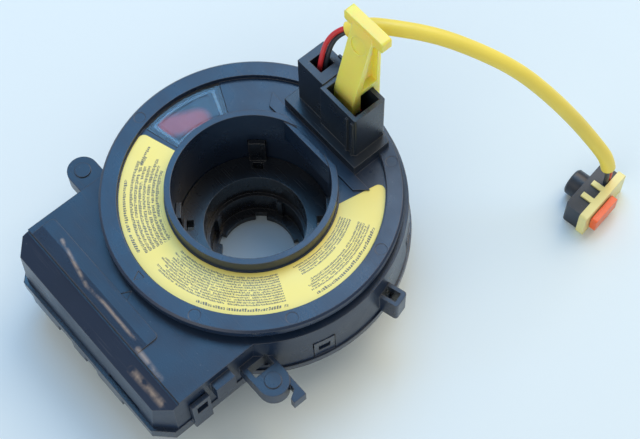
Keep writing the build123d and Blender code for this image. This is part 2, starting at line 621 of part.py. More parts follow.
def upper_case():
    foot_r = CASE_R + CASE_DRAFT
    body = drum(foot_r + 1, (CASE_FOOT, CASE_TOP))
    body &= turned(((0, CASE_FOOT), (foot_r, CASE_FOOT), (CASE_R, CASE_TOP), (0, CASE_TOP)))
    plan = prism(block_outline(0), (CASE_FOOT, CASE_TOP))
    body += side_prism(block_profile(0), (-BLOCK_X, BLOCK_X)) & plan
    body += top_pad()
    # hollow the block, then the drum
    hollow = side_prism(block_profile(WALL), (-BLOCK_X + WALL, BLOCK_X - WALL))
    hollow &= prism(block_outline(-WALL), (CASE_FOOT, CASE_TOP))
    hollow -= drum(CASE_R, (0, CASE_TOP + 1))
    body -= hollow
    body -= drum(CASE_IN_R, (CASE_FOOT, CASE_TOP - CASE_FLANGE))
    body -= drum(CASE_EYE_R, (CASE_FOOT, CASE_TOP + 1))
    gate = slab((-CABLE_GATE, CABLE_GATE), (-CASE_R - 3, -CASE_IN_R + 3),
                (CASE_FOOT, CASE_TOP - CASE_FLANGE))
    body -= gate
    body += case_ear()
    body += mirrored(case_ear())
    body += case_clip()
    body += case_loop()
    (pocket_x, pocket_y) = EAR_POCKET
    body -= slab(pocket_x, (-pocket_y[1], -pocket_y[0]), (EAR_TOP - EAR_T - 1, EAR_TOP + 1))
    guide = slab((BLOCK_X - 1, BLOCK_X + GUIDE_OUT), (-GUIDE_Y[1], -GUIDE_Y[0]), GUIDE_Z)
    body += guide
    catch = side_catch()
    body += catch
    body += mirrored(catch)
    for azimuth in ARM_AZIMUTHS:
        half = ARM_W / 2 + RUN_GAP
        recess = slab((CASE_R - ARM_RECESS + 0.6, foot_r + 1), (-half, half),
                      (CASE_FOOT - 1, CASE_FOOT + ARM_H + RUN_GAP))
        body -= at(azimuth, recess)
        nib_z = CASE_FOOT + ARM_H / 2 + 0.4
        nib = side_prism(((CASE_R - 1.2, nib_z - NIB_H / 2), (CASE_R + 0.5, nib_z + NIB_H / 2 - 0.6),
                          (CASE_R + 0.5, nib_z + NIB_H / 2), (CASE_R - 1.2, nib_z + NIB_H / 2)),
                         (-NIB_W / 2, NIB_W / 2))
        body += at(azimuth - 90, nib)
    body -= slab(BLOCK_NOTCH_X, (-BLOCK_OUT - 1, -BLOCK_OUT + WALL + 0.5),
                 (CASE_FOOT - 1, CASE_FOOT + BLOCK_NOTCH_H))
    body -= prism(arrow_mark(-(RING_R + 1.9), 1), (CASE_TOP - MARK_DEPTH, CASE_TOP + 1))
    return body


def side_catch():
    """Wedge on the side wall of the block."""
    low, high = CATCH_Z
    face = make_face(Polyline((BLOCK_X - 0.5, 0, low), (BLOCK_X, 0, low), (BLOCK_X + CATCH_OUT, 0, high - 0.6),
                              (BLOCK_X + CATCH_OUT, 0, high), (BLOCK_X - 0.5, 0, high), close=True))
    wedge = extrude(face, CATCH_Y[1] - CATCH_Y[0], dir=(0, -1, 0))
    return Pos(0, -CATCH_Y[0], 0) * wedge


# ---------------------------------------------------------------- drum cover
def lower_cover():
    rim = CASE_R + CASE_DRAFT + COVER_LIP
    body = turned((
        (COVER_EYE_R, COVER_FOOT), (rim - WALL, COVER_FOOT), (rim - WALL, COVER_FOOT - COVER_LIP_DROP),
        (rim, COVER_FOOT - COVER_LIP_DROP), (rim, CASE_FOOT), (COVER_EYE_R, CASE_FOOT)))
    width, height = COVER_RIB
    for index in range(COVER_RIBS):
        rib = slab((FLANGE_R + 2, rim - WALL + 0.4), (-width / 2, width / 2),
                   (COVER_FOOT - height, COVER_FOOT + 0.5))
        body += at(360 * (index + 0.5) / COVER_RIBS, rib)
    inner = CASE_R - ARM_RECESS + 0.6 + RUN_GAP
    for azimuth in ARM_AZIMUTHS:
        half = ARM_W / 2
        arm = slab((inner, inner + ARM_T), (-half, half), (COVER_FOOT, CASE_FOOT + ARM_H))
        nib_z = CASE_FOOT + ARM_H / 2 + 0.4
        across, high = ARM_WINDOW
        arm -= slab((inner - 1, inner + ARM_T + 1), (-across / 2, across / 2),
                    (nib_z - high / 2, nib_z + high / 2))
        body += at(azimuth, arm)
    return body


def slide_sheet():
    return sector((HUB_OUT + 2 * RUN_GAP, CASE_IN_R - RUN_GAP), (0, 360), (CASE_FOOT, CASE_FOOT + SHEET_T))


# ---------------------------------------------------------------- connector body
def shroud(x):
    outer = slab(x, (-SHROUD_Y[1], -SHROUD_Y[0]), (0, COVER_FOOT + 0.5))
    outer = fillet(outer.edges().filter_by(Axis.Z), SHROUD_CORNER)
    inner = slab((x[0] + SHROUD_WALL, x[1] - SHROUD_WALL),
                 (-SHROUD_Y[1] + SHROUD_WALL, -SHROUD_Y[0] - SHROUD_WALL), (-1, COVER_FOOT))
    return outer, inner


def throat(x, gap):
    return slab((x[0] + THROAT_INSET + gap, x[1] - THROAT_INSET - gap),
                (-THROAT_Y[1] + gap, -THROAT_Y[0] - gap),
                (CASE_FOOT - BOSS_DROP, CASE_FOOT + 0.5))


def connector_body():
    cover_rim = CASE_R + CASE_DRAFT + COVER_LIP + RUN_GAP
    body = prism(block_outline(SILL_OUT), (SILL_FOOT, CASE_FOOT))
    body &= slab((-BLOCK_X - SILL_SIDE, BLOCK_X + SILL_SIDE), (-BLOCK_OUT - SILL_OUT, -BLOCK_ROOT_Y - 5),
                 (SILL_FOOT, CASE_FOOT))
    body -= prism(block_outline(SILL_OUT - SILL_W), (SILL_FOOT - 1, CASE_FOOT - FLOOR_T))
    for low, high in TEETH:
        outer_y = -BLOCK_OUT - SILL_OUT
        body += slab((low, high), (outer_y, outer_y + TOOTH_T), (SILL_FOOT - TOOTH_H, SILL_FOOT + 1))
    for x in (SHROUD_A_X, SHROUD_B_X):
        outer, inner = shroud(x)
        body += outer
        body -= inner
    for x in (SHROUD_A_X, SHROUD_B_X):
        body -= throat(x, -RUN_GAP)
    arm_in = BLOCK_X + RUN_GAP
    arm = slab((arm_in, arm_in + SIDE_ARM_T), (-SIDE_ARM_Y[1], -SIDE_ARM_Y[0]), (SILL_FOOT, SIDE_ARM_TOP))
    arm += slab((BLOCK_X - 1.5, arm_in + 0.5), (-SIDE_ARM_Y[1], -SIDE_ARM_Y[0]), (SILL_FOOT, SILL_FOOT + 3))
    arm -= slab((arm_in - 1, arm_in + SIDE_ARM_T + 1), (-CATCH_Y[1] - RUN_GAP, -CATCH_Y[0] + RUN_GAP),
                (CATCH_Z[0] - RUN_GAP, CATCH_Z[1] + RUN_GAP))
    body += arm
    body += mirrored(arm)
    body -= drum(cover_rim, (0, CASE_TOP))
    return body


def terminal_carrier():
    low = SHROUD_A_X[0] - CARRIER_END
    high = SHROUD_B_X[1] + CARRIER_END
    body = slab((low, high), (-CARRIER_Y[1], -CARRIER_Y[0]), (CASE_FOOT, CASE_FOOT + CARRIER_H))
    body = fillet(body.edges().filter_by(Axis.Z), 1.0)
    for x in (SHROUD_A_X, SHROUD_B_X):
        body += throat(x, 0)
    return body


def pin_row(x, count, rows):
    """Terminals that hang from the carrier into one shroud."""
    top = CASE_FOOT - BOSS_DROP
    half = PIN_W / 2
    middle = (x[0] + x[1]) / 2
    pins = []
    for y in rows:
        for index in range(count):
            place = middle + (index - (count - 1) / 2) * PIN_PITCH
            pins.append(slab((place - half, place + half), (-y - half, -y + half), (top - PIN_DROP, top)))
    return pins


# ---------------------------------------------------------------- ribbon cable
def ribbon_path(offset):
    """One edge of the spiral: half circles struck in turn from two centres."""
    step = RIBBON_PITCH / 2
    radius = RIBBON_START_R
    arcs = []
    for _ in range(RIBBON_TURNS):
        r = radius + offset
        arcs.append(ThreePointArc((r, 0), (0, r), (-r, 0)))
        r = radius + step + offset
        arcs.append(ThreePointArc((step - r, 0), (step, -r), (step + r, 0)))
        radius += 2 * step
    r = radius + offset
    arcs.append(ThreePointArc((r, 0), (0, r), (-r, 0)))
    r = radius + step + offset
    quarter = math.sqrt(0.5)
    arcs.append(ThreePointArc((step - r, 0), (step - r * quarter, -r * quarter), (step, -r)))
    bend = RIBBON_BEND - offset
    centre_y = -(radius + step) - RIBBON_BEND
    arcs.append(ThreePointArc((step, -r), (step + bend * quarter, centre_y + bend * quarter),
                              (step + bend, centre_y)))
    return arcs


def ribbon_end():
    """Where the ribbon meets its outer end block: X of its centre line, and Y."""
    step = RIBBON_PITCH / 2
    radius = RIBBON_START_R + RIBBON_TURNS * RIBBON_PITCH + step
    return (step + RIBBON_BEND, -(radius + RIBBON_BEND))


def ribbon_cable():
    half = RIBBON_T / 2
    outer, inner = ribbon_path(half), ribbon_path(-half)
    first = Line((RIBBON_START_R - half, 0), (RIBBON_START_R + half, 0))
    x, y = ribbon_end()
    last = Line((x - half, y), (x + half, y))
    face = make_face(Wire(outer + [last] + inner + [first]))
    return Pos(0, 0, RIBBON_Z[0]) * extrude(face, RIBBON_Z[1] - RIBBON_Z[0])


def ribbon_outer_joint():
    x, y = ribbon_end()
    return slab((x - JOINT_W / 2, x + JOINT_W / 2), (-CARRIER_Y[0], y), (CASE_FOOT, RIBBON_Z[1] - 1))


def ribbon_inner_joint():
    return sector((HUB_OUT, RIBBON_START_R - RIBBON_T / 2), INNER_JOINT_SPAN,
                  (RIBBON_Z[0] + 1, RIBBON_Z[1] - 1))


# ---------------------------------------------------------------- airbag lead
def corner_radii(points):
    """The largest bend that the two runs beside each corner leave room for."""
    radii = []
    for before, corner, after in zip(points, points[1:], points[2:]):
        first, second = corner - before, after - corner
        half_turn = math.radians(first.get_angle(second)) / 2
        radii.append(0.45 * min(first.length, second.length) / math.tan(half_turn))
    return radii


def cord(name, route, diameter):
    points = [Vector(*point) for point in route]
    radii = corner_radii(points)
    path = FilletPolyline(*points, radius=radii)
    start = Plane(origin=path @ 0, z_dir=path % 0)
    tube = sweep(start * Circle(diameter / 2), path=path)
    section = math.pi * diameter ** 2 / 4
    print(name, "radii", [round(r, 1) for r in radii], "length", round(path.length, 1),
          "volume", round(tube.volume, 1), "section x length", round(section * path.length, 1))
    return tube


def sleeve_end(index, inner):
    """A point at an end of the sleeve, and the way the sleeve leaves it."""
    point = Vector(*SLEEVE[index])
    return point, (point - Vector(*SLEEVE[inner])).normalized()


def wire(foot, side, bend):
    """A wire from its retainer up to the mouth of the sleeve."""
    mouth, outward = sleeve_end(0, 1)
    up = Vector(0, 0, 1)
    across = (up - outward * outward.dot(up)).normalized() * (side * WIRE_PITCH / 2)
    start = Vector(*foot, TOWER_TOP - SMALL_DEPTH + PLUG_H)
    return (start, start + up * WIRE_RISE, mouth + across + outward * bend, mouth + across)


def tail(side):
    """The same wire from the far end of the sleeve down into the airbag plug."""
    mouth, outward = sleeve_end(-1, -2)
    turn = math.radians(SQUIB_TURN)
    along = Vector(math.cos(turn), math.sin(turn), 0)
    across = (along - outward * outward.dot(along)).normalized() * (side * WIRE_PITCH / 2)
    knee = mouth + across + outward * TAIL_BEND
    return (mouth + across, knee, Vector(knee.X, knee.Y, SQUIB_H))


# ---------------------------------------------------------------- airbag connector
def on_table(shape):
    """Moves a piece of the airbag connector from its own corner to its place."""
    return Pos(SQUIB_AT[0], SQUIB_AT[1], 0) * Rot(0, 0, SQUIB_TURN) * shape


def prong_places():
    return (LOCK_X[0] + PRONG_INSET, LOCK_X[1] - PRONG_INSET)


def squib_cover():
    middle = SQUIB_H / 2
    body = slab((0, SQUIB_L), COVER_Y, (0, SQUIB_H + CLAW_T))
    body = fillet(body.edges().filter_by(Axis.Y), 0.8)
    for x in CLAW_X:
        body += slab((x, x + CLAW_W), (COVER_Y[1] - 0.5, COVER_Y[1] + CLAW_L), (SQUIB_H, SQUIB_H + CLAW_T))
    width, height = PRONG
    for x in prong_places():
        body -= slab((x - width / 2 - RUN_GAP, x + width / 2 + RUN_GAP), (COVER_Y[0] - 1, COVER_Y[1] + 1),
                     (middle - height / 2 - RUN_GAP, middle + height / 2 + RUN_GAP))
    return on_table(body)


def squib_lock():
    middle = (LOCK_Z[0] + LOCK_Z[1]) / 2
    back = COVER_Y[0] - RUN_GAP
    body = slab(LOCK_X, (back - LOCK_T, back), LOCK_Z)
    body = fillet(body.edges().filter_by(Axis.Y), 0.7)
    width, height = PRONG
    for x in prong_places():
        body += slab((x - width / 2, x + width / 2), (back - 0.5, COVER_Y[1] - RUN_GAP),
                     (middle - height / 2, middle + height / 2))
    return on_table(body)


def squib_body():
    body = slab(BODY_X, BODY_Y, (0, SQUIB_H))
    body = fillet(body.edges().filter_by(Axis.Z).sort_by(Axis.Y)[-2:], 1.2)
    barrel = Pos(BARREL_X, (BODY_Y[1] + BARREL_END) / 2 - 0.25, SQUIB_H / 2) * Rot(-90, 0, 0) * Cylinder(
        BARREL_R, BARREL_END - BODY_Y[1] + 0.5)
    barrel = chamfer(barrel.edges().sort_by(Axis.Y)[-1], BARREL_CHAMFER)
    body += barrel
    width, height = CONTACT
    for side in (-1, 1):
        x = BARREL_X + side * CONTACT_PITCH / 2
        body -= slab((x - width, x + width), (BARREL_END - CONTACT_DEPTH, BARREL_END + 1),
                     (SQUIB_H / 2 - height, SQUIB_H / 2 + height))
    return on_table(body)


def squib_contacts():
    width, height = CONTACT
    contacts = []
    for side in (-1, 1):
        x = BARREL_X + side * CONTACT_PITCH / 2
        contacts.append(on_table(slab(
            (x - width / 2, x + width / 2), (BARREL_END - CONTACT_DEPTH, BARREL_END - 1),
            (SQUIB_H / 2 - height / 2, SQUIB_H / 2 + height / 2))))
    return contacts


# ---------------------------------------------------------------- writing
def pieces():
    return {
        "upper_case": upper_case(),
        "lower_cover": lower_cover(),
        "slide_sheet": slide_sheet(),
        "connector_body": connector_body(),
        "terminal_carrier": terminal_carrier(),
        "column_terminals": pin_row(SHROUD_A_X, PIN_COUNT_A, PIN_ROW_Y),
        "airbag_terminals": pin_row(SHROUD_B_X, PIN_COUNT_B, PIN_ROW_Y[:1]),
        "ribbon_cable": ribbon_cable(),
        "ribbon_outer_joint": ribbon_outer_joint(),
        "ribbon_inner_joint": ribbon_inner_joint(),
        "rotor_plate": rotor_plate(),
        "hub_sleeve": hub_sleeve(),
        "window_lens": window_lens(),
        "neutral_flag": neutral_flag(),
        "label_film": label_film(),
        "socket_tower": socket_tower(),
        "tower_terminals": tower_terminals(),
        "lead_retainer": lead_retainer(),
        "lock_key": lock_key(),
        "red_wire": cord("red_wire", wire(RED_FOOT, 1, RED_BEND), WIRE_D),
        "black_wire": cord("black_wire", wire(BLACK_FOOT, -1, BLACK_BEND), WIRE_D),
        "lead_sleeve": cord("lead_sleeve", SLEEVE, SLEEVE_D),
        "red_wire_tail": cord("red_wire_tail", tail(1), WIRE_D),
        "black_wire_tail": cord("black_wire_tail", tail(-1), WIRE_D),
        "squib_body": squib_body(),
        "squib_cover": squib_cover(),
        "squib_lock": squib_lock(),
        "squib_contacts": squib_contacts(),
    }


def write(name, shape):
    solids = shape if isinstance(shape, list) else shape.solids()
    part = solids[0] if len(solids) == 1 else Compound(children=list(solids))
    export_step(part, os.path.join("parts", name + ".step"))


os.makedirs("parts", exist_ok=True)
for node, piece in pieces().items():
    write(node, piece)
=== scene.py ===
import math

import bmesh
import bpy
from mathutils import Matrix, Vector


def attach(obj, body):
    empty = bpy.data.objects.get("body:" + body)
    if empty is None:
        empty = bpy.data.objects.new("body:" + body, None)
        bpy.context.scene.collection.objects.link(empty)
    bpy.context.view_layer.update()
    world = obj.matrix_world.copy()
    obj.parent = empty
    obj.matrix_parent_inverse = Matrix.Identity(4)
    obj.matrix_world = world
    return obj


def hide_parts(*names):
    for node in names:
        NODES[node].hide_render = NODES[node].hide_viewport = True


bl_info = {
    "name": "Steering Clock Spring",
    "version": (1, 0, 0),
    "blender": (4, 5, 0),
    "location": "View3D > Sidebar > Clock Spring",
    "description": "Finishes the steering clock spring: mouldings, label, lens, lock key and airbag lead",
    "category": "Object",
}

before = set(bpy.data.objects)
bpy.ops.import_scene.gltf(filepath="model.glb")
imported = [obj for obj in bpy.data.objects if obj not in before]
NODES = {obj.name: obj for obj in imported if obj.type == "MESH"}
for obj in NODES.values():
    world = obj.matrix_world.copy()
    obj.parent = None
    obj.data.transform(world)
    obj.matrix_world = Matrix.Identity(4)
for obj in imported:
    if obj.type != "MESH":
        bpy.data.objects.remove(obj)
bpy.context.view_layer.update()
MM = 0.001

# ---------------------------------------------------------------- route of the airbag lead
# points in mm, in the frame of the part
SLEEVE_ROUTE = (
    (-7.7, 48.3, 84.3), (-3.8, 52.1, 87.45), (1.6, 56.2, 88.6), (13.2, 66.5, 86.9),
    (24.1, 75.7, 80.9), (33.8, 84.5, 71.8), (42.6, 91.8, 59.6), (50.6, 98.4, 45.9),
    (56.0, 102.5, 35.8), (59.9, 105.0, 29.0), (61.9, 106.2, 24.7), (62.9, 106.7, 20.2),
)
RED_ROUTE = ((-9.6, 37.7, 64.4), (-9.6, 37.7, 71.0), (-12.0, 44.1, 81.9), (-8.04, 47.97, 85.12))
BLACK_ROUTE = ((-9.3, 40.0, 64.4), (-9.3, 40.0, 71.0), (-10.7, 45.4, 80.8), (-7.36, 48.63, 83.48))
TUBE_ROUND_STEPS = 10
TUBE_LONG_STEPS = 12

# ---------------------------------------------------------------- print on the label
# each block: middle azimuth, half width (degrees), inner and outer radius, row pitch (mm),
# ragged start (degrees), dash length (mm)
LABEL_FIELDS = ("Middle", "Half Width", "Inner", "Outer", "Pitch", "Ragged", "Dash")
LABEL_PRINT = (
    (234.5, 27.5, 30.0, 40.2, 1.42, 7.0, 0.62),
    (302.0, 34.0, 30.0, 40.4, 0.86, 7.0, 0.52),
    (9.0, 23.0, 30.0, 34.0, 0.86, 4.0, 0.52),
    (9.5, 22.5, 36.0, 40.4, 0.86, 4.0, 0.52),
    (241.0, 19.0, 41.0, 42.4, 1.4, 0.0, 0.85),
    (316.0, 20.5, 41.0, 42.4, 1.4, 0.0, 0.85),
    (10.6, 20.6, 41.0, 42.4, 1.4, 0.0, 0.85),
    (207.5, 5.5, 37.9, 39.1, 1.2, 0.0, 0.7),
)
BLOCK_SEED_STEP = 3.7
ROW_SEED_STEP = 5.37
INK_COVER = 0.9
# words: how fast the gaps between words come along a row, and how much of a row is gap
WORD_SCALE = 0.55
WORD_GAP = 0.33
# dashes: share of a cell that is inked, and where in the row its foot and its top lie
DASH_SHARE = 0.74
DASH_FOOT = 0.14
DASH_TOP = (0.62, 0.94)
# thin strokes: how fast they come, the noise range they fade in, and the ink they keep
STROKE_SCALE = 1.9
STROKE_FADE = (0.34, 0.42)
STROKE_LEFT = 0.25

# ---------------------------------------------------------------- rubbed streaks on the block: real scratches, with their glints painted in as a lighter brown
# each streak: start and end in plan, width (mm)
BLOCK_SCUFFS_AND_GLINTS = (
    ((-29.0, -56.4, 0.0), (-10.8, -60.2, 0.0), 0.9),
    ((-10.8, -60.2, 0.0), (-2.0, -59.6, 0.0), 0.8),
    ((-2.0, -59.6, 0.0), (13.9, -59.9, 0.0), 0.8),
    ((17.2, -61.1, 0.0), (29.7, -61.7, 0.0), 1.2),
    ((20.4, -66.6, 0.0), (35.7, -66.2, 0.0), 1.6),
)
SCUFF_GLINT_COVER = 0.7
SCUFF_GLINT_BREAK_SCALE = 260.0
SCUFF_GLINT_BREAK = (0.38, 0.58)

# ---------------------------------------------------------------- surface of the mouldings
# a scale counts the waves of a noise in one metre; a pair is the range of it that is used
MIDDLE_RANGE = (0.35, 0.65)
GRAIN_DEPTH = 0.12 * MM
BEVEL_SAMPLES = 6
EDGE_TURN = (0.995, 0.90)
CLOUD_SCALE = 90.0
CLOUD_RANGE = (0.3, 0.7)
CLOUD_DEPTH = 0.06
# each set of fine scratches: turn about Z, stretch of its noise
SCRATCH_SETS = ((0.6, (60.0, 2600.0, 900.0)), (2.1, (70.0, 3200.0, 900.0)))
SCRATCH_LINE = (0.68, 0.74)
SPECK_SCALE = 420.0
SPECK_EDGE = (0.12, 0.05)
SPECK_PATCH_SCALE = 60.0
SPECK_PATCH = (0.50, 0.60)
DRIFT_SCALE = 24.0
# how far the colour moves towards white on edges as a painted highlight, on real dust and on rubbed
# marks, and how much of the rubbed marks shows
EDGE_HIGHLIGHT_LIFT = 0.5
DUST_LIFT = 0.6
RUB_LIFT = 0.3
RUB_COVER = 0.4
# light that goes a little way into the lock key: spread of each colour, depth, share
GLOW_RADIUS = (1.0, 0.62, 0.12)
GLOW_DEPTH = 5.0 * MM
KEY_GLOW = 0.85

# ---------------------------------------------------------------- colours of the small pieces
# the plug body is black; its blue tint is a painted sheen of the bluish sky
PLUG_BODY_COLOUR = (0.016, 0.024, 0.040)
FLAG_PLATE_COLOUR = (0.012, 0.045, 0.11)
LENS_COLOURS = ((0.88, 0.94, 1.0, 1.0), (0.95, 0.98, 1.0, 1.0))
METAL_COLOURS = ((0.58, 0.52, 0.39, 1.0), (0.74, 0.68, 0.52, 1.0))
METAL_SCALE = 500.0
METAL_ROUGHNESS = (0.42, 0.24)
RIBBON_COLOUR = (0.75, 0.73, 0.64)
TRACK_COLOUR = (0.55, 0.42, 0.28)
SLIDE_COLOUR = (0.7, 0.71, 0.71)

# ---------------------------------------------------------------- tracks of the ribbon, flag and lens
TRACK_PITCH = 1.6 * MM
TRACK_GAP = 0.45
FLAG_PATCH_START = (-38.0 * MM, -4.6 * MM, 0.0)
FLAG_PATCH_END = (-33.7 * MM, 4.4 * MM, 0.0)
FLAG_PATCH_WIDTH = 5.2 * MM
FLAG_PATCH_EDGE = 2.0
LENS_SCALE = 120.0
LENS_ROUGHNESS = (0.10, 0.20)
LENS_SHADOW = 0.15
LENS_CLEARNESS = 0.97
LENS_IOR = 1.5

# ---------------------------------------------------------------- stop on the lead block
# two corners and the rounding of its edges, in mm
STOP_LOW = (-8.0, 44.3, 68.0)
STOP_HIGH = (-5.6, 45.4, 73.1)
STOP_ROUND = 0.3

# ---------------------------------------------------------------- floor and lamps
FLOOR_ROUGHNESS = 0.9
# each lamp: name, place (m), side (m), the stage setting that holds its power, colour
LAMPS = (
    ("main_lamp", (-0.16, 1.15, 1.38), 1.3, "key_power", (1.0, 0.79, 0.54)),
    ("overhead_panel", (-0.52, 0.35, 1.25), 0.75, "panel_power", (0.13, 0.51, 1.0)),
    ("fill_lamp", (0.35, -1.25, 0.75), 1.2, "fill_power", (1.0, 0.93, 0.80)),
)
LAMP_AIM = (0.02, 0.01, 0.03)

# ---------------------------------------------------------------- view of the camera
# eye in mm, angles in degrees, lens and sensor in mm
CAMERA_EYE = (194.1, -129.4, 489.9)
CAMERA_AZIMUTH = 50.9
CAMERA_ELEVATION = 63.5
CAMERA_ROLL = -1.9
CAMERA_LENS = 86.29
CAMERA_SENSOR = 36.0
CAMERA_REACH = 20.0


# ---------------------------------------------------------------- settings
class LeadSettings(bpy.types.PropertyGroup):
    sleeve_diameter: bpy.props.FloatProperty(
        name="Sleeve Diameter", description="Outside of the yellow sleeve",
        default=5.2 * MM, unit="LENGTH")
    sleeve_length: bpy.props.FloatProperty(
        name="Sleeve Length", description="Length of the sleeve along its middle",
        default=123.0 * MM, unit="LENGTH")
    wire_diameter: bpy.props.FloatProperty(
        name="Wire Diameter", description="Outside of the insulation of each wire",
        default=1.7 * MM, unit="LENGTH")
    sleeve_colour: bpy.props.FloatVectorProperty(
        name="Sleeve Colour", description="Colour of the yellow sleeve",
        default=(0.89, 0.73, 0.11), subtype="COLOR", size=3)
    red_colour: bpy.props.FloatVectorProperty(
        name="Red Wire", description="Colour of the red insulation",
        default=(0.62, 0.035, 0.05), subtype="COLOR", size=3)
    black_colour: bpy.props.FloatVectorProperty(
        name="Black Wire", description="Colour of the black insulation",
        default=(0.03, 0.04, 0.065), subtype="COLOR", size=3)


class MouldingSettings(bpy.types.PropertyGroup):
    # the mouldings are black; the blue in these colours is a painted sheen of the bluish sky on their
    # faces
    case_colour: bpy.props.FloatVectorProperty(
        name="Case", description="Colour of the standing mouldings",
        default=(0.010, 0.024, 0.056), subtype="COLOR", size=3)
    rotor_colour: bpy.props.FloatVectorProperty(
        name="Rotor", description="Colour of the turning mouldings",
        default=(0.010, 0.026, 0.064), subtype="COLOR", size=3)
    tower_colour: bpy.props.FloatVectorProperty(
        name="Tower", description="Colour of the socket tower",
        default=(0.011, 0.020, 0.036), subtype="COLOR", size=3)
    hub_colour: bpy.props.FloatVectorProperty(
        name="Hub", description="Colour of the hub sleeve",
        default=(0.008, 0.013, 0.023), subtype="COLOR", size=3)
    # rubbed scratches on the block's step, with their glints painted in: partly wear, partly painted
    # highlight
    scuff_glint_colour: bpy.props.FloatVectorProperty(
        name="Scuff And Glint", description="Colour of the rubbed streaks along the block's step",
        default=(0.40, 0.32, 0.26), subtype="COLOR", size=3)
    edge_radius: bpy.props.FloatProperty(
        name="Edge Radius", description="Small rounding that moulded edges show",
        default=0.35 * MM, unit="LENGTH")
    grain_size: bpy.props.FloatProperty(
        name="Grain Size", description="Size of the moulded grain",
        default=0.5 * MM, unit="LENGTH")


class BrightSettings(bpy.types.PropertyGroup):
    label_colour: bpy.props.FloatVectorProperty(
        name="Label", description="Ground colour of the label film",
        default=(0.95, 0.85, 0.24), subtype="COLOR", size=3)
    ink_colour: bpy.props.FloatVectorProperty(
        name="Ink", description="Colour of the printed dashes on the label",
        default=(0.07, 0.08, 0.09), subtype="COLOR", size=3)
    key_colour: bpy.props.FloatVectorProperty(
        name="Lock Key", description="Colour of the lock key",
        default=(1.0, 0.84, 0.18), subtype="COLOR", size=3)
    flag_colour: bpy.props.FloatVectorProperty(
        name="Neutral Flag", description="Colour of the flag under the lens",
        default=(0.62, 0.10, 0.10), subtype="COLOR", size=3)
    lock_colour: bpy.props.FloatVectorProperty(
        name="Plug Lock", description="Colour of the airbag plug's lock",
        default=(0.90, 0.14, 0.03), subtype="COLOR", size=3)
    plug_colour: bpy.props.FloatVectorProperty(
        name="Plug Cover", description="Colour of the airbag plug's cover",
        default=(0.86, 0.80, 0.34), subtype="COLOR", size=3)


class StageSettings(bpy.types.PropertyGroup):
    floor_size: bpy.props.FloatProperty(
        name="Floor Size", description="Side of the floor", default=6.0, unit="LENGTH")
    floor_colour: bpy.props.FloatVectorProperty(
        name="Floor", description="Colour of the floor",
        default=(0.76, 0.885, 0.965), subtype="COLOR", size=3)
    sky_colour: bpy.props.FloatVectorProperty(
        name="Sky", description="Colour of the soft light all round",
        default=(0.95, 0.94, 0.90), subtype="COLOR", size=3)
    sky_level: bpy.props.FloatProperty(
        name="Sky Level", description="Strength of the soft light all round", default=0.47)
    key_power: bpy.props.FloatProperty(
        name="Main Lamp", description="Power of the main lamp, in watts", default=18.5)
    panel_power: bpy.props.FloatProperty(
        name="Overhead Panel", description="Power of the cool panel overhead, in watts",
        default=7.6)
    fill_power: bpy.props.FloatProperty(
        name="Fill Lamp", description="Power of the soft lamp in front of the object, in watts",
        default=5.5)


SETTINGS = {
    "clock_lead": LeadSettings,
    "clock_moulding": MouldingSettings,
    "clock_bright": BrightSettings,
    "clock_stage": StageSettings,
}


# ---------------------------------------------------------------- shader helpers
def material(name):
    """A new node material, its tree and its Principled shader."""
    made = bpy.data.materials.new(name)
    made.use_nodes = True
    tree = made.node_tree
    shader = tree.nodes["Principled BSDF"]
    return made, tree, shader


def group_tree(name, inputs, outputs):
    """A node group with named sockets. Each entry is (name, socket type, default or None)."""
    tree = bpy.data.node_groups.new(name, "ShaderNodeTree")
    for label, kind, default in inputs:
        socket = tree.interface.new_socket(label, in_out="INPUT", socket_type=kind)
        if default is not None:
            socket.default_value = default
    for label, kind in outputs:
        tree.interface.new_socket(label, in_out="OUTPUT", socket_type=kind)
    return tree, tree.nodes.new("NodeGroupInput"), tree.nodes.new("NodeGroupOutput")


def feed(tree, value, socket):
    """Links a socket to a socket, or sets a constant on it."""
    if isinstance(value, bpy.types.NodeSocket):
        tree.links.new(value, socket)
    else:
        socket.default_value = value


def maths(tree, operation, *values, clamp=False):
    """A maths node on sockets and numbers."""
    node = tree.nodes.new("ShaderNodeMath")
    node.operation = operation
    node.use_clamp = clamp
    for value, socket in zip(values, node.inputs):
        feed(tree, value, socket)
    return node.outputs[0]


def vector_maths(tree, operation, *values):
    """A vector maths node. Its result is a number for a dot product or a length."""
    node = tree.nodes.new("ShaderNodeVectorMath")
    node.operation = operation
    for value, socket in zip(values, node.inputs):
        feed(tree, value, socket)
    return node.outputs["Value" if operation in ("DOT_PRODUCT", "LENGTH") else "Vector"]


def strongest(tree, masks):
    """The largest of several masks at each place."""
    result = masks[0]
    for mask in masks[1:]:
        result = maths(tree, "MAXIMUM", result, mask)
    return result


def remap(tree, value, low, high, to_low=0.0, to_high=1.0):
    """Maps the range low to high onto to_low to to_high, and holds the ends."""
    node = tree.nodes.new("ShaderNodeMapRange")
    tree.links.new(value, node.inputs["Value"])
    for label, number in (("From Min", low), ("From Max", high),
                          ("To Min", to_low), ("To Max", to_high)):
        node.inputs[label].default_value = number
    return node.outputs["Result"]


def object_place(tree):
    """Places in the frame of the part."""
    return tree.nodes.new("ShaderNodeTexCoord").outputs["Object"]


def joined(tree, **parts):
    """A vector whose X and Y come from sockets."""
    node = tree.nodes.new("ShaderNodeCombineXYZ")
    for label, value in parts.items():
        tree.links.new(value, node.inputs[label])
    return node.outputs["Vector"]


def white_noise(tree, dimensions, label, source):
    """A steady chance value for each whole number or pair of whole numbers."""
    node = tree.nodes.new("ShaderNodeTexWhiteNoise")
    node.noise_dimensions = dimensions
    tree.links.new(source, node.inputs[label])
    return node.outputs["Value"]


def noise(tree, vector, scale, detail):
    """Soft noise over a vector. The scale is a number or a socket."""
    node = tree.nodes.new("ShaderNodeTexNoise")
    node.inputs["Detail"].default_value = detail
    feed(tree, scale, node.inputs["Scale"])
    tree.links.new(vector, node.inputs["Vector"])
    return node.outputs["Fac"]


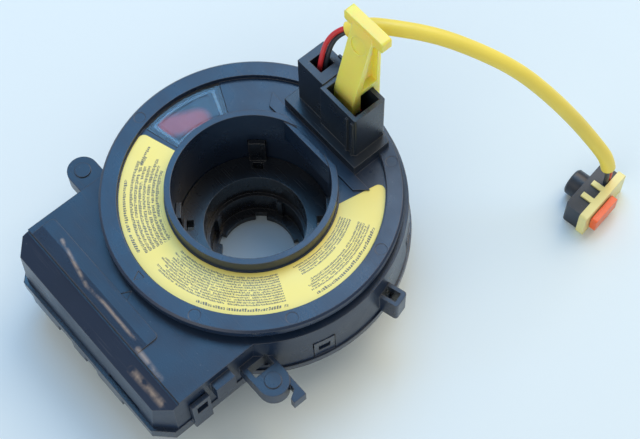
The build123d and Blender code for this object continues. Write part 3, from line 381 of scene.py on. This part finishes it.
def moulded_surface_group():
    """Fine grain, cloudy gloss and softened edges of an injection moulding."""
    tree, given, out = group_tree(
        "moulded_surface",
        (("Grain Scale", "NodeSocketFloat", 2000.0), ("Grain", "NodeSocketFloat", 0.1),
         ("Edge Radius", "NodeSocketFloat", 0.0003), ("Roughness", "NodeSocketFloat", 0.4),
         ("Cloud", "NodeSocketFloat", 0.08), ("Scratches", "NodeSocketFloat", 0.1)),
        (("Normal", "NodeSocketVector"), ("Roughness", "NodeSocketFloat"),
         ("Edge", "NodeSocketFloat"), ("Dust", "NodeSocketFloat"), ("Rub", "NodeSocketFloat")))
    links = tree.links
    value = given.outputs
    place = object_place(tree)

    bevel = tree.nodes.new("ShaderNodeBevel")
    bevel.samples = BEVEL_SAMPLES
    links.new(value["Edge Radius"], bevel.inputs["Radius"])
    bump = tree.nodes.new("ShaderNodeBump")
    bump.inputs["Distance"].default_value = GRAIN_DEPTH
    links.new(value["Grain"], bump.inputs["Strength"])
    links.new(noise(tree, place, value["Grain Scale"], 2.0), bump.inputs["Height"])
    links.new(bevel.outputs["Normal"], bump.inputs["Normal"])
    links.new(bump.outputs["Normal"], out.inputs["Normal"])

    cloud = remap(tree, noise(tree, place, CLOUD_SCALE, 4.0), *CLOUD_RANGE, -1.0, 1.0)
    spread = maths(tree, "MULTIPLY", cloud, value["Cloud"])
    lines = []
    for turn, stretch in SCRATCH_SETS:
        mapping = tree.nodes.new("ShaderNodeMapping")
        mapping.inputs["Rotation"].default_value = (0.0, 0.0, turn)
        mapping.inputs["Scale"].default_value = stretch
        links.new(place, mapping.inputs["Vector"])
        streaky = noise(tree, mapping.outputs["Vector"], 1.0, 1.0)
        lines.append(remap(tree, streaky, *SCRATCH_LINE))
    scratch = maths(tree, "MULTIPLY", strongest(tree, lines), value["Scratches"], clamp=True)
    rough = maths(tree, "ADD", value["Roughness"], spread)
    links.new(maths(tree, "ADD", rough, scratch, clamp=True), out.inputs["Roughness"])
    links.new(scratch, out.inputs["Rub"])

    # Edge: where the rounded normal turns from the flat one; the finishes lighten the colour there as a
    # painted highlight
    flat = tree.nodes.new("ShaderNodeNewGeometry").outputs["Normal"]
    turned = vector_maths(tree, "DOT_PRODUCT", bevel.outputs["Normal"], flat)
    links.new(remap(tree, turned, *EDGE_TURN), out.inputs["Edge"])

    specks = tree.nodes.new("ShaderNodeTexVoronoi")
    specks.inputs["Scale"].default_value = SPECK_SCALE
    links.new(place, specks.inputs["Vector"])
    speck = remap(tree, specks.outputs["Distance"], *SPECK_EDGE)
    patch = remap(tree, noise(tree, place, SPECK_PATCH_SCALE, 2.0), *SPECK_PATCH)
    links.new(maths(tree, "MULTIPLY", speck, patch), out.inputs["Dust"])
    return tree


def print_rows_group():
    """Ink mask of a block of printed dashes that runs round the label in rows."""
    tree, given, out = group_tree(
        "print_rows",
        (("Middle", "NodeSocketFloat", 0.0), ("Half Width", "NodeSocketFloat", 20.0),
         ("Inner", "NodeSocketFloat", 30.0), ("Outer", "NodeSocketFloat", 40.0),
         ("Pitch", "NodeSocketFloat", 0.85), ("Ragged", "NodeSocketFloat", 5.0),
         ("Dash", "NodeSocketFloat", 0.6), ("Seed", "NodeSocketFloat", 0.0)),
        (("Ink", "NodeSocketFloat"),))
    value = given.outputs

    # place in the plan of the label: radius, angle from the block's middle, row, way along it
    flat = vector_maths(tree, "MULTIPLY", object_place(tree), (1.0 / MM, 1.0 / MM, 0.0))
    radius = vector_maths(tree, "LENGTH", flat)
    parts = tree.nodes.new("ShaderNodeSeparateXYZ")
    tree.links.new(flat, parts.inputs[0])
    turn = maths(tree, "ARCTAN2", parts.outputs["Y"], parts.outputs["X"])
    from_middle = maths(tree, "SUBTRACT", maths(tree, "DEGREES", turn), value["Middle"])
    aside = maths(tree, "WRAP", from_middle, 180.0, -180.0)
    depth = maths(tree, "DIVIDE", maths(tree, "SUBTRACT", value["Outer"], radius), value["Pitch"])
    row = maths(tree, "FLOOR", depth)
    across = maths(tree, "SUBTRACT", depth, row)
    along = maths(tree, "MULTIPLY", maths(tree, "RADIANS", aside), radius)

    # each row starts at its own angle
    start = white_noise(tree, "1D", "W", maths(tree, "ADD", row, value["Seed"]))
    ragged = maths(tree, "MULTIPLY", start, value["Ragged"])
    low = maths(tree, "SUBTRACT", ragged, value["Half Width"])

    # gaps between words of dashes
    row_seed = maths(tree, "ADD", maths(tree, "MULTIPLY", row, ROW_SEED_STEP), value["Seed"])
    spot = joined(tree, X=maths(tree, "MULTIPLY", along, WORD_SCALE), Y=row_seed)
    words = noise(tree, spot, 1.0, 1.0)

    # dashes of uneven height, with some thin strokes
    cell = maths(tree, "DIVIDE", along, value["Dash"])
    tick = maths(tree, "FRACT", cell)
    height = white_noise(tree, "2D", "Vector", joined(tree, X=maths(tree, "FLOOR", cell), Y=row))
    top = remap(tree, height, 0.0, 1.0, *DASH_TOP)
    strokes = noise(tree, joined(tree, X=along, Y=radius), STROKE_SCALE, 0.0)

    ink = maths(tree, "GREATER_THAN", words, WORD_GAP)
    for limit in (
            maths(tree, "GREATER_THAN", across, DASH_FOOT),
            maths(tree, "LESS_THAN", across, top),
            maths(tree, "LESS_THAN", tick, DASH_SHARE),
            remap(tree, strokes, *STROKE_FADE, STROKE_LEFT, 1.0),
            maths(tree, "GREATER_THAN", aside, low),
            maths(tree, "LESS_THAN", aside, value["Half Width"]),
            maths(tree, "GREATER_THAN", radius, value["Inner"]),
            maths(tree, "LESS_THAN", radius, value["Outer"])):
        ink = maths(tree, "MULTIPLY", ink, limit)
    tree.links.new(ink, out.inputs["Ink"])
    return tree


def streak_group():
    """A streak between two places in plan: Near is whole, Mask is broken up by noise."""
    tree, given, out = group_tree(
        "rubbed_streak",
        (("Start", "NodeSocketVector", (0.0, 0.0, 0.0)),
         ("End", "NodeSocketVector", (0.0, 0.1, 0.0)),
         ("Width", "NodeSocketFloat", 0.001), ("Seed", "NodeSocketFloat", 0.0)),
        (("Mask", "NodeSocketFloat"), ("Near", "NodeSocketFloat")))
    links = tree.links
    value = given.outputs
    place = object_place(tree)
    level = vector_maths(tree, "MULTIPLY", place, (1.0, 1.0, 0.0))
    run = vector_maths(tree, "SUBTRACT", value["End"], value["Start"])
    out_from = vector_maths(tree, "SUBTRACT", level, value["Start"])
    share = maths(tree, "DIVIDE", vector_maths(tree, "DOT_PRODUCT", out_from, run),
                  vector_maths(tree, "DOT_PRODUCT", run, run), clamp=True)
    scaled = tree.nodes.new("ShaderNodeVectorMath")
    scaled.operation = "SCALE"
    links.new(run, scaled.inputs[0])
    links.new(share, scaled.inputs["Scale"])
    across = vector_maths(tree, "SUBTRACT", out_from, scaled.outputs["Vector"])
    aside = vector_maths(tree, "LENGTH", across)
    near = maths(tree, "SUBTRACT", 1.0, maths(tree, "DIVIDE", aside, value["Width"]), clamp=True)
    links.new(near, out.inputs["Near"])
    broken = tree.nodes.new("ShaderNodeTexNoise")
    broken.noise_dimensions = "4D"
    broken.inputs["Scale"].default_value = SCUFF_GLINT_BREAK_SCALE
    broken.inputs["Detail"].default_value = 4.0
    links.new(place, broken.inputs["Vector"])
    links.new(value["Seed"], broken.inputs["W"])
    left = remap(tree, broken.outputs["Fac"], *SCUFF_GLINT_BREAK)
    links.new(maths(tree, "MULTIPLY", near, left, clamp=True), out.inputs["Mask"])
    return tree


def blend_colour(tree, factor, first, second):
    """Mixes two colours, each a colour or a socket."""
    node = tree.nodes.new("ShaderNodeMix")
    node.data_type = "RGBA"
    tree.links.new(factor, node.inputs["Factor"])
    for label, value in (("A", first), ("B", second)):
        socket = [s for s in node.inputs if s.name == label and s.type == "RGBA"][0]
        feed(tree, value, socket)
    return [s for s in node.outputs if s.type == "RGBA"][0]


def lighter(colour, amount):
    """The colour moved towards white."""
    return tuple(c + (1 - c) * amount for c in colour)


def opaque(colour):
    """The colour with full alpha."""
    return (*colour[:3], 1.0)


def place_group(tree, name, **values):
    """Puts a shared group into a tree. Values are named as its sockets, with _ for a space."""
    node = tree.nodes.new("ShaderNodeGroup")
    node.node_tree = bpy.data.node_groups[name]
    for label, value in values.items():
        node.inputs[label.replace("_", " ")].default_value = value
    return node


def moulding(name, colour, roughness=0.38, grain=0.25, edge_highlight=0.16, dust=0.08, scratches=0.12,
             specular=0.5, drift=0.10, glow=0.0):
    """A moulded plastic. Its colour drifts a little, lifts on edges as a painted highlight, and lifts on
    dust and rubs.
    """
    settings = bpy.context.scene.clock_moulding
    made, tree, shader = material(name)
    surface = place_group(
        tree, "moulded_surface", Grain_Scale=1.0 / settings.grain_size, Grain=grain,
        Edge_Radius=settings.edge_radius, Roughness=roughness, Cloud=CLOUD_DEPTH,
        Scratches=scratches)
    drifting = noise(tree, object_place(tree), DRIFT_SCALE, 4.0)
    shade = remap(tree, drifting, *MIDDLE_RANGE)
    base = blend_colour(tree, shade, opaque([c * (1.0 - drift) for c in colour]),
                        opaque([min(c * (1.0 + drift), 1.0) for c in colour]))
    # lighter edges are a painted highlight; dust and rubs are real marks
    for output, cover, lift in (("Edge", edge_highlight, EDGE_HIGHLIGHT_LIFT), ("Dust", dust, DUST_LIFT),
                                ("Rub", RUB_COVER, RUB_LIFT)):
        mask = maths(tree, "MULTIPLY", surface.outputs[output], cover)
        base = blend_colour(tree, mask, base, opaque(lighter(colour, lift)))
    tree.links.new(base, shader.inputs["Base Color"])
    tree.links.new(surface.outputs["Roughness"], shader.inputs["Roughness"])
    tree.links.new(surface.outputs["Normal"], shader.inputs["Normal"])
    shader.inputs["Specular IOR Level"].default_value = specular
    shader.inputs["Subsurface Weight"].default_value = glow
    shader.inputs["Subsurface Radius"].default_value = GLOW_RADIUS
    shader.inputs["Subsurface Scale"].default_value = GLOW_DEPTH
    return made


def add_colour(made, factor, colour):
    """Lays a colour over what already feeds a material's base colour."""
    tree = made.node_tree
    socket = tree.nodes["Principled BSDF"].inputs["Base Color"]
    below = socket.links[0].from_socket
    tree.links.new(blend_colour(tree, factor, below, opaque(colour)), socket)


def finish_nodes(made, *names):
    """Gives CAD nodes their finish."""
    for name in names:
        data = NODES[name].data
        data.materials.clear()
        data.materials.append(made)


def scene_object(name, data, made=None):
    """A new object in the scene, with a finish where one is given."""
    piece = bpy.data.objects.new(name, data)
    bpy.context.scene.collection.objects.link(piece)
    if made is not None:
        data.materials.append(made)
    return piece


# ---------------------------------------------------------------- operators
class CLOCK_OT_groups(bpy.types.Operator):
    """Builds the shader groups that the finishes share"""

    bl_idname = "clock.groups"
    bl_label = "Shared Finishes"

    def execute(self, context):
        moulded_surface_group()
        print_rows_group()
        streak_group()
        return {"FINISHED"}


class CLOCK_OT_lead(bpy.types.Operator):
    """Lays the yellow sleeve and the two wires along their routes"""

    bl_idname = "clock.lead"
    bl_label = "Airbag Lead"

    def execute(self, context):
        settings = context.scene.clock_lead
        insulation = {"roughness": 0.35, "grain": 0.1, "edge_highlight": 0.0, "dust": 0.0}
        red = moulding("red_insulation", settings.red_colour, **insulation)
        black = moulding("black_insulation", settings.black_colour, **insulation)
        finish_nodes(red, "red_wire_tail")
        finish_nodes(black, "black_wire_tail")
        on_it = [NODES[n] for n in ("squib_body", "squib_cover", "squib_contacts", "squib_lock",
                                    "red_wire_tail", "black_wire_tail")]
        on_it.append(self.tube("red_lead_wire", RED_ROUTE, settings.wire_diameter, red, "red_insulation",
                               "red_wire"))
        on_it.append(self.tube("black_lead_wire", BLACK_ROUTE, settings.wire_diameter, black,
                               "black_insulation", "black_wire"))
        yellow = moulding("sleeve_finish", settings.sleeve_colour, roughness=0.42, grain=0.3,
                          edge_highlight=0.0, dust=0.03)
        sleeve = self.tube("sleeve_tube", SLEEVE_ROUTE, settings.sleeve_diameter, yellow, "sleeve_yellow",
                           "lead_sleeve")
        return {"FINISHED"}

    def tube(self, name, route, diameter, made, slot, node):
        """A smooth round tube along a route, in place of the node that stands for it."""
        curve = bpy.data.curves.new(name, "CURVE")
        curve.dimensions = "3D"
        curve.bevel_depth = diameter / 2
        curve.bevel_resolution = TUBE_ROUND_STEPS
        curve.use_fill_caps = True
        curve.resolution_u = TUBE_LONG_STEPS
        spline = curve.splines.new("NURBS")
        spline.points.add(len(route) - 1)
        for point, place in zip(spline.points, route):
            point.co = (*[c * MM for c in place], 1.0)
        spline.order_u = 3
        spline.use_endpoint_u = True
        piece = scene_object(name, curve, made)
        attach(piece, "rotor")
        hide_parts(node)
        return piece


class CLOCK_OT_mouldings(bpy.types.Operator):
    """Finishes the black mouldings of the case, rotor and plugs"""

    bl_idname = "clock.mouldings"
    bl_label = "Black Mouldings"

    def execute(self, context):
        settings = context.scene.clock_moulding
        case = moulding("case_plastic", settings.case_colour, roughness=0.28, specular=0.7)
        rotor = moulding("rotor_plastic", settings.rotor_colour, roughness=0.30)
        hub = moulding("hub_plastic", settings.hub_colour, roughness=0.26)
        block = moulding("block_plastic", settings.case_colour, roughness=0.32, specular=0.44)
        tower = moulding("tower_plastic", settings.tower_colour, roughness=0.30, edge_highlight=0.12,
                         scratches=0.2)
        plug = moulding("plug_plastic", PLUG_BODY_COLOUR, roughness=0.4)
        self.lay_scuff_glints(block, settings.scuff_glint_colour)
        finish_nodes(block, "upper_case")
        finish_nodes(case, "lower_cover", "connector_body", "terminal_carrier", "ribbon_outer_joint",
                     "ribbon_inner_joint", "lead_retainer")
        finish_nodes(rotor, "rotor_plate")
        finish_nodes(tower, "socket_tower")
        finish_nodes(hub, "hub_sleeve")
        finish_nodes(plug, "squib_body")
        return {"FINISHED"}

    def lay_scuff_glints(self, made, colour):
        """Lays the rubbed streaks on the moulding of the block: real scratches, with their glints painted
        in as a lighter brown.
        """
        tree = made.node_tree
        streaks = [
            place_group(tree, "rubbed_streak", Start=[c * MM for c in start],
                        End=[c * MM for c in end], Width=width * MM, Seed=seed).outputs["Mask"]
            for seed, (start, end, width) in enumerate(BLOCK_SCUFFS_AND_GLINTS)]
        add_colour(made, maths(tree, "MULTIPLY", strongest(tree, streaks), SCUFF_GLINT_COVER), colour)


class CLOCK_OT_stop(bpy.types.Operator):
    """Adds the small moulded stop on the back of the block that the lead comes out of"""

    bl_idname = "clock.stop"
    bl_label = "Lead Block Stop"

    def execute(self, context):
        mesh = bpy.data.meshes.new("lead_block_stop")
        shape = bmesh.new()
        bmesh.ops.create_cube(shape, size=1.0)
        low, high = Vector(STOP_LOW), Vector(STOP_HIGH)
        bmesh.ops.scale(shape, vec=(high - low) * MM, verts=shape.verts)
        bmesh.ops.translate(shape, vec=(high + low) * MM / 2, verts=shape.verts)
        bmesh.ops.bevel(shape, geom=shape.edges[:], affect="EDGES", offset=STOP_ROUND * MM, segments=2,
                        profile=0.5, material=-1)
        shape.to_mesh(mesh)
        shape.free()
        piece = scene_object("lead_block_stop", mesh, bpy.data.materials["tower_plastic"])
        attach(piece, "rotor")
        return {"FINISHED"}


class CLOCK_OT_bright(bpy.types.Operator):
    """Finishes the label, lens, flag, lock key, plug cover and plug lock"""

    bl_idname = "clock.bright"
    bl_label = "Bright Pieces"

    def execute(self, context):
        settings = context.scene.clock_bright
        # fine grain and a strong painted highlight along the edges of these bright pieces
        smooth_with_edge_highlight = {"grain": 0.1, "edge_highlight": 0.3}
        key = moulding("key_plastic", settings.key_colour, roughness=0.35, glow=KEY_GLOW, **smooth_with_edge_highlight)
        lock = moulding("lock_plastic", settings.lock_colour, roughness=0.3, **smooth_with_edge_highlight)
        cover = moulding("cover_plastic", settings.plug_colour, roughness=0.35, **smooth_with_edge_highlight)
        finish_nodes(self.label(settings), "label_film")
        finish_nodes(key, "lock_key")
        finish_nodes(self.flag(settings), "neutral_flag")
        finish_nodes(lock, "squib_lock")
        finish_nodes(cover, "squib_cover")
        finish_nodes(self.lens(), "window_lens")
        return {"FINISHED"}

    def label(self, settings):
        """Yellow film with rows of generic dashes round it."""
        made = moulding("label_print", settings.label_colour, roughness=0.38, grain=0.05, edge_highlight=0.0,
                        dust=0.02, scratches=0.08, drift=0.03)
        tree = made.node_tree
        blocks = []
        for number, block in enumerate(LABEL_PRINT):
            rows = place_group(tree, "print_rows", Seed=BLOCK_SEED_STEP * number)
            for label, value in zip(LABEL_FIELDS, block):
                rows.inputs[label].default_value = value
            blocks.append(rows.outputs["Ink"])
        ink = maths(tree, "MULTIPLY", strongest(tree, blocks), INK_COVER)
        add_colour(made, ink, settings.ink_colour)
        return made

    def flag(self, settings):
        """Dark plate with the red patch that shows when the spring is centred."""
        made = moulding("flag_plastic", FLAG_PLATE_COLOUR, roughness=0.3, grain=0.1)
        tree = made.node_tree
        patch = place_group(tree, "rubbed_streak", Start=FLAG_PATCH_START, End=FLAG_PATCH_END,
                            Width=FLAG_PATCH_WIDTH)
        solid = maths(tree, "MULTIPLY", patch.outputs["Near"], FLAG_PATCH_EDGE, clamp=True)
        add_colour(made, solid, settings.flag_colour)
        return made

    def lens(self):
        """Clear plastic with a faint haze. Lamp light passes it, so the flag below is lit."""
        made, tree, shader = material("lens_plastic")
        haze = remap(tree, noise(tree, object_place(tree), LENS_SCALE, 3.0), *MIDDLE_RANGE)
        tree.links.new(blend_colour(tree, haze, *LENS_COLOURS), shader.inputs["Base Color"])
        tree.links.new(remap(tree, haze, 0.0, 1.0, *LENS_ROUGHNESS), shader.inputs["Roughness"])
        shadow = tree.nodes.new("ShaderNodeLightPath").outputs["Is Shadow Ray"]
        tree.links.new(remap(tree, shadow, 0.0, 1.0, 1.0, LENS_SHADOW), shader.inputs["Alpha"])
        shader.inputs["Transmission Weight"].default_value = LENS_CLEARNESS
        shader.inputs["IOR"].default_value = LENS_IOR
        return made


class CLOCK_OT_inner(bpy.types.Operator):
    """Finishes the terminals, ribbon and slide film"""

    bl_idname = "clock.inner"
    bl_label = "Inner Pieces"

    def execute(self, context):
        slide = moulding("slide_film", SLIDE_COLOUR, roughness=0.3, grain=0.05)
        finish_nodes(self.metal(), "column_terminals", "airbag_terminals", "tower_terminals",
                     "squib_contacts")
        finish_nodes(self.ribbon(), "ribbon_cable")
        finish_nodes(slide, "slide_sheet")
        return {"FINISHED"}

    def metal(self):
        """Tinned brass with cloudy tarnish."""
        made, tree, shader = material("terminal_metal")
        tarnish = remap(tree, noise(tree, object_place(tree), METAL_SCALE, 4.0), *MIDDLE_RANGE)
        tree.links.new(blend_colour(tree, tarnish, *METAL_COLOURS), shader.inputs["Base Color"])
        tree.links.new(remap(tree, tarnish, 0.0, 1.0, *METAL_ROUGHNESS), shader.inputs["Roughness"])
        shader.inputs["Metallic"].default_value = 1.0
        return made

    def ribbon(self):
        """Flat cable film with flat tracks, one above the other."""
        made = moulding("ribbon_film", RIBBON_COLOUR, roughness=0.3, grain=0.05)
        tree = made.node_tree
        parts = tree.nodes.new("ShaderNodeSeparateXYZ")
        tree.links.new(object_place(tree), parts.inputs[0])
        step = maths(tree, "FRACT", maths(tree, "DIVIDE", parts.outputs["Z"], TRACK_PITCH))
        add_colour(made, maths(tree, "GREATER_THAN", step, TRACK_GAP), TRACK_COLOUR)
        return made


class CLOCK_OT_stage(bpy.types.Operator):
    """Lays the floor, hangs the lamps and sets the camera"""

    bl_idname = "clock.stage"
    bl_label = "Stage"

    def execute(self, context):
        settings = context.scene.clock_stage
        floor_mesh = bpy.data.meshes.new("floor")
        shape = bmesh.new()
        bmesh.ops.create_grid(shape, x_segments=1, y_segments=1, size=settings.floor_size / 2)
        shape.to_mesh(floor_mesh)
        shape.free()
        paper, _, shader = material("floor_paper")
        shader.inputs["Base Color"].default_value = opaque(settings.floor_colour)
        shader.inputs["Roughness"].default_value = FLOOR_ROUGHNESS
        shader.inputs["Specular IOR Level"].default_value = 0.0
        floor = scene_object("floor", floor_mesh, paper)

        world = bpy.data.worlds.new("soft_room")
        context.scene.world = world
        world.use_nodes = True
        sky = world.node_tree.nodes["Background"]
        sky.inputs["Color"].default_value = opaque(settings.sky_colour)
        sky.inputs["Strength"].default_value = settings.sky_level

        for name, place, size, power, colour in LAMPS:
            self.lamp(name, place, size, getattr(settings, power), colour)

        camera = bpy.data.cameras.new("camera")
        camera.lens = CAMERA_LENS
        camera.sensor_width = CAMERA_SENSOR
        camera.clip_end = CAMERA_REACH
        holder = scene_object("camera", camera)
        turn = (Matrix.Rotation(math.radians(CAMERA_AZIMUTH), 4, "Z")
                @ Matrix.Rotation(math.radians(90.0 - CAMERA_ELEVATION), 4, "X")
                @ Matrix.Rotation(math.radians(CAMERA_ROLL), 4, "Z"))
        holder.matrix_world = Matrix.Translation(Vector(CAMERA_EYE) * MM) @ turn
        context.scene.camera = holder
        context.scene.view_settings.view_transform = "Standard"
        return {"FINISHED"}

    def lamp(self, name, place, size, power, colour):
        """A square soft lamp that looks at the middle of the object."""
        light = bpy.data.lights.new(name, "AREA")
        light.size = size
        light.energy = power
        light.color = colour
        turn = (Vector(LAMP_AIM) - Vector(place)).to_track_quat("-Z", "Y").to_matrix().to_4x4()
        scene_object(name, light).matrix_world = Matrix.Translation(place) @ turn


STEPS = (
    CLOCK_OT_groups,
    CLOCK_OT_stage,
    CLOCK_OT_lead,
    CLOCK_OT_mouldings,
    CLOCK_OT_stop,
    CLOCK_OT_bright,
    CLOCK_OT_inner,
)


class CLOCK_PT_panel(bpy.types.Panel):
    """Lists the settings and the steps"""

    bl_idname = "CLOCK_PT_panel"
    bl_label = "Clock Spring"
    bl_space_type = "VIEW_3D"
    bl_region_type = "UI"
    bl_category = "Clock Spring"

    def draw(self, context):
        for name, kind in SETTINGS.items():
            box = self.layout.box()
            for label in kind.__annotations__:
                box.prop(getattr(context.scene, name), label)
        for step in STEPS:
            self.layout.operator(step.bl_idname)


def register():
    for name, kind in SETTINGS.items():
        bpy.utils.register_class(kind)
        setattr(bpy.types.Scene, name, bpy.props.PointerProperty(type=kind))
    for step in STEPS:
        bpy.utils.register_class(step)
    bpy.utils.register_class(CLOCK_PT_panel)


def unregister():
    bpy.utils.unregister_class(CLOCK_PT_panel)
    for step in reversed(STEPS):
        bpy.utils.unregister_class(step)
    for name, kind in SETTINGS.items():
        delattr(bpy.types.Scene, name)
        bpy.utils.unregister_class(kind)


def main():
    """Runs every step."""
    register()
    for step in STEPS:
        group, name = step.bl_idname.split(".")
        getattr(getattr(bpy.ops, group), name)()


if __name__ == "__main__":
    main()
